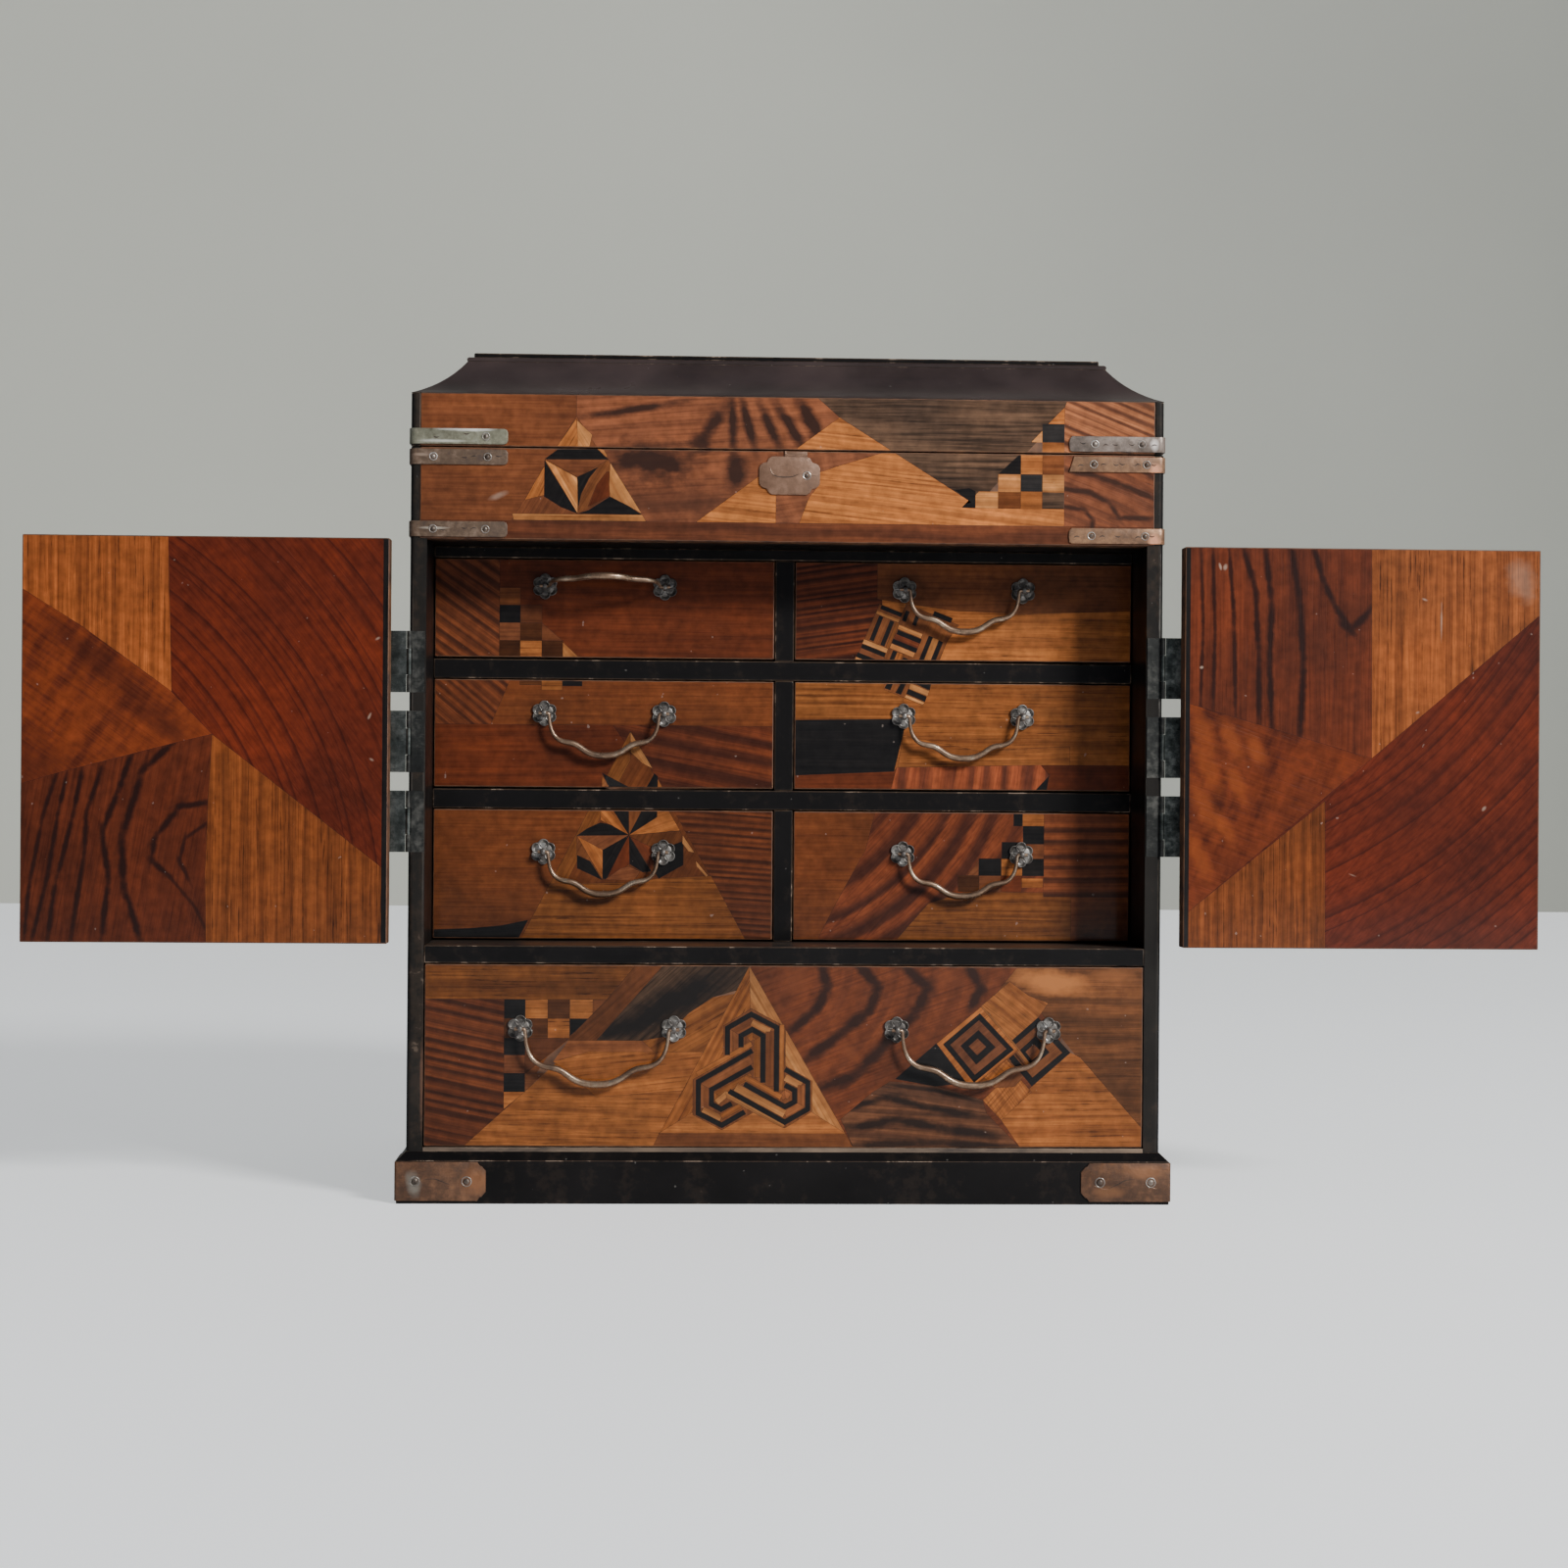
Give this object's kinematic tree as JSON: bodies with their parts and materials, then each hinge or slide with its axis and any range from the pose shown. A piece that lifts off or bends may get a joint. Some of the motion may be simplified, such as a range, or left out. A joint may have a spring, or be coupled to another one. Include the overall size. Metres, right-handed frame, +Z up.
{
  "type": "tansu chest",
  "caption": "Table-top chest with a hinged coved lid over a till, hinged doors before small drawers, a wide bottom drawer, marquetry fronts, bail handles and corner straps.",
  "frame": {"origin": "middle of the footprint with the doors open, on the surface the chest stands on", "axes": "+Z up, the front faces -Y, +X to the right seen from the front"},
  "size_m": [0.5994, 0.2252, 0.34],
  "materials": {
    "marquetry": "polished",
    "black_lacquer": "lacquered, worn at the edges",
    "bare_wood": "plain",
    "copper": "aged",
    "dark_iron": "blackened"
  },
  "bodies": {
    "carcase": {"plinth_rails": "black_lacquer", "bottom_board": "black_lacquer", "left_side": "black_lacquer", "right_side": "black_lacquer", "back_panel": "black_lacquer", "middle_shelf": "black_lacquer", "lower_shelf": "black_lacquer", "upper_shelf": "black_lacquer", "partition": "black_lacquer", "head_rail": "black_lacquer", "till_floor": "bare_wood", "till_front": "marquetry", "plinth_corner_plates": "copper", "till_corner_straps": "copper", "lock_plate": "copper", "fixed_hinge_leaves": "dark_iron", "hinge_pins": "dark_iron", "fixing_nails": "copper", "side_handle_mounts": "dark_iron"},
    "left_side_handle": {"left_side_bail": "copper"},
    "right_side_handle": {"right_side_bail": "copper"},
    "lid": {"lid_front": "marquetry", "lid_walls": "black_lacquer", "lid_cove": "black_lacquer", "lid_top": "black_lacquer", "lid_corner_straps": "copper", "lid_hinge_leaves": "dark_iron"},
    "left_door_leaf": {"left_door": "marquetry", "left_door_leaves": "dark_iron"},
    "right_door_leaf": {"right_door": "marquetry", "right_door_leaves": "dark_iron"},
    "top_left_drawer": {"top_left_front": "marquetry", "top_left_box": "bare_wood", "top_left_mounts": "dark_iron"},
    "top_left_handle": {"top_left_bail": "copper"},
    "top_right_drawer": {"top_right_front": "marquetry", "top_right_box": "bare_wood", "top_right_mounts": "dark_iron"},
    "top_right_handle": {"top_right_bail": "copper"},
    "middle_left_drawer": {"middle_left_front": "marquetry", "middle_left_box": "bare_wood", "middle_left_mounts": "dark_iron"},
    "middle_left_handle": {"middle_left_bail": "copper"},
    "middle_right_drawer": {"middle_right_front": "marquetry", "middle_right_box": "bare_wood", "middle_right_mounts": "dark_iron"},
    "middle_right_handle": {"middle_right_bail": "copper"},
    "lower_left_drawer": {"lower_left_front": "marquetry", "lower_left_box": "bare_wood", "lower_left_mounts": "dark_iron"},
    "lower_left_handle": {"lower_left_bail": "copper"},
    "lower_right_drawer": {"lower_right_front": "marquetry", "lower_right_box": "bare_wood", "lower_right_mounts": "dark_iron"},
    "lower_right_handle": {"lower_right_bail": "copper"},
    "wide_drawer": {"wide_front": "marquetry", "wide_box": "bare_wood", "wide_mounts": "dark_iron"},
    "wide_left_handle": {"wide_left_bail": "copper"},
    "wide_right_handle": {"wide_right_bail": "copper"}
  },
  "joints": [
    {"name": "lid_hinge", "type": "hinge", "parent": "carcase", "child": "lid", "pos_m": [0, 0.1104, 0.29935], "axis": [-1, 0, 0], "range_deg": [0, 100]},
    {"name": "left_door_hinge", "type": "hinge", "parent": "carcase", "child": "left_door_leaf", "pos_m": [-0.15, -0.1032, 0.1824], "axis": [0, 0, -1], "range_deg": [-180, 60]},
    {"name": "right_door_hinge", "type": "hinge", "parent": "carcase", "child": "right_door_leaf", "pos_m": [0.15, -0.1032, 0.1824], "axis": [0, 0, 1], "range_deg": [-180, 60]},
    {"name": "left_side_bail_swing", "type": "hinge", "parent": "carcase", "child": "left_side_handle", "pos_m": [-0.1546, 0.0032, 0.2581], "axis": [0, 1, 0], "range_deg": [0, 150]},
    {"name": "right_side_bail_swing", "type": "hinge", "parent": "carcase", "child": "right_side_handle", "pos_m": [0.1546, 0.0032, 0.2581], "axis": [0, -1, 0], "range_deg": [0, 150]},
    {"name": "top_left_drawer_slide", "type": "slide", "parent": "carcase", "child": "top_left_drawer", "axis": [0, -1, 0], "range_m": [0, 0.13]},
    {"name": "top_left_bail_swing", "type": "hinge", "parent": "top_left_drawer", "child": "top_left_handle", "pos_m": [-0.07365, -0.0714, 0.2468], "axis": [-1, 0, 0], "range_deg": [-100, 20]},
    {"name": "top_right_drawer_slide", "type": "slide", "parent": "carcase", "child": "top_right_drawer", "axis": [0, -1, 0], "range_m": [0, 0.13]},
    {"name": "top_right_bail_swing", "type": "hinge", "parent": "top_right_drawer", "child": "top_right_handle", "pos_m": [0.07365, -0.0714, 0.2468], "axis": [-1, 0, 0], "range_deg": [0, 120]},
    {"name": "middle_left_drawer_slide", "type": "slide", "parent": "carcase", "child": "middle_left_drawer", "axis": [0, -1, 0], "range_m": [0, 0.13]},
    {"name": "middle_left_bail_swing", "type": "hinge", "parent": "middle_left_drawer", "child": "middle_left_handle", "pos_m": [-0.07365, -0.0714, 0.1949], "axis": [-1, 0, 0], "range_deg": [0, 150]},
    {"name": "middle_right_drawer_slide", "type": "slide", "parent": "carcase", "child": "middle_right_drawer", "axis": [0, -1, 0], "range_m": [0, 0.13]},
    {"name": "middle_right_bail_swing", "type": "hinge", "parent": "middle_right_drawer", "child": "middle_right_handle", "pos_m": [0.07365, -0.0714, 0.1949], "axis": [-1, 0, 0], "range_deg": [0, 150]},
    {"name": "lower_left_drawer_slide", "type": "slide", "parent": "carcase", "child": "lower_left_drawer", "axis": [0, -1, 0], "range_m": [0, 0.13]},
    {"name": "lower_left_bail_swing", "type": "hinge", "parent": "lower_left_drawer", "child": "lower_left_handle", "pos_m": [-0.07365, -0.0714, 0.1383], "axis": [-1, 0, 0], "range_deg": [0, 150]},
    {"name": "lower_right_drawer_slide", "type": "slide", "parent": "carcase", "child": "lower_right_drawer", "axis": [0, -1, 0], "range_m": [0, 0.13]},
    {"name": "lower_right_bail_swing", "type": "hinge", "parent": "lower_right_drawer", "child": "lower_right_handle", "pos_m": [0.07365, -0.0714, 0.1383], "axis": [-1, 0, 0], "range_deg": [0, 150]},
    {"name": "wide_drawer_slide", "type": "slide", "parent": "carcase", "child": "wide_drawer", "axis": [0, -1, 0], "range_m": [0, 0.15]},
    {"name": "wide_left_bail_swing", "type": "hinge", "parent": "wide_drawer", "child": "wide_left_handle", "pos_m": [-0.0747, -0.1074, 0.0692], "axis": [-1, 0, 0], "range_deg": [0, 150]},
    {"name": "wide_right_bail_swing", "type": "hinge", "parent": "wide_drawer", "child": "wide_right_handle", "pos_m": [0.0747, -0.1074, 0.0692], "axis": [-1, 0, 0], "range_deg": [0, 150]}
  ]
}
